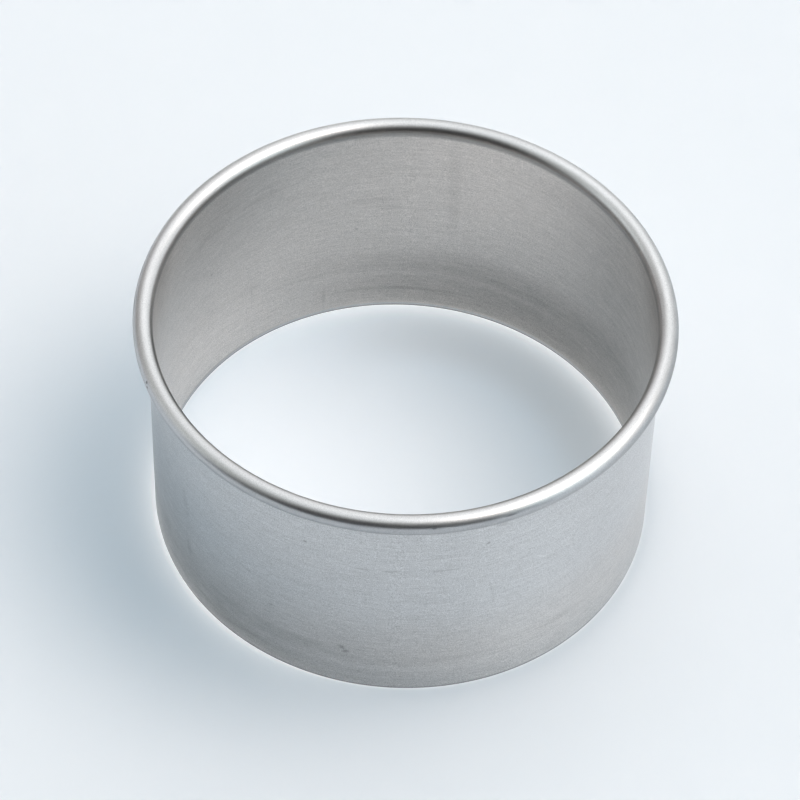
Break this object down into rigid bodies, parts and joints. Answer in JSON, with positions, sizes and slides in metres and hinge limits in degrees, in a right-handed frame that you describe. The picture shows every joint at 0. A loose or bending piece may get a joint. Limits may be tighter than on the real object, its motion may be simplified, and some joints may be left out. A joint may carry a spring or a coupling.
{
  "type": "round pastry cutter",
  "caption": "Plain round pastry cutter: a straight steel band with a cutting edge below and a hollow rim rolled outwards above.",
  "frame": {"origin": "centre of the circle that the cutting edge stands on", "axes": "+Z along the band's axis, from the cutting edge to the rolled rim; X and Y are any two directions across it"},
  "size_m": [0.082, 0.082, 0.0422],
  "materials": {
    "brushed_stainless": "satin, with a fine grain that runs round the band"
  },
  "bodies": {
    "root": {"cutter_ring": "brushed_stainless"}
  },
  "joints": []
}
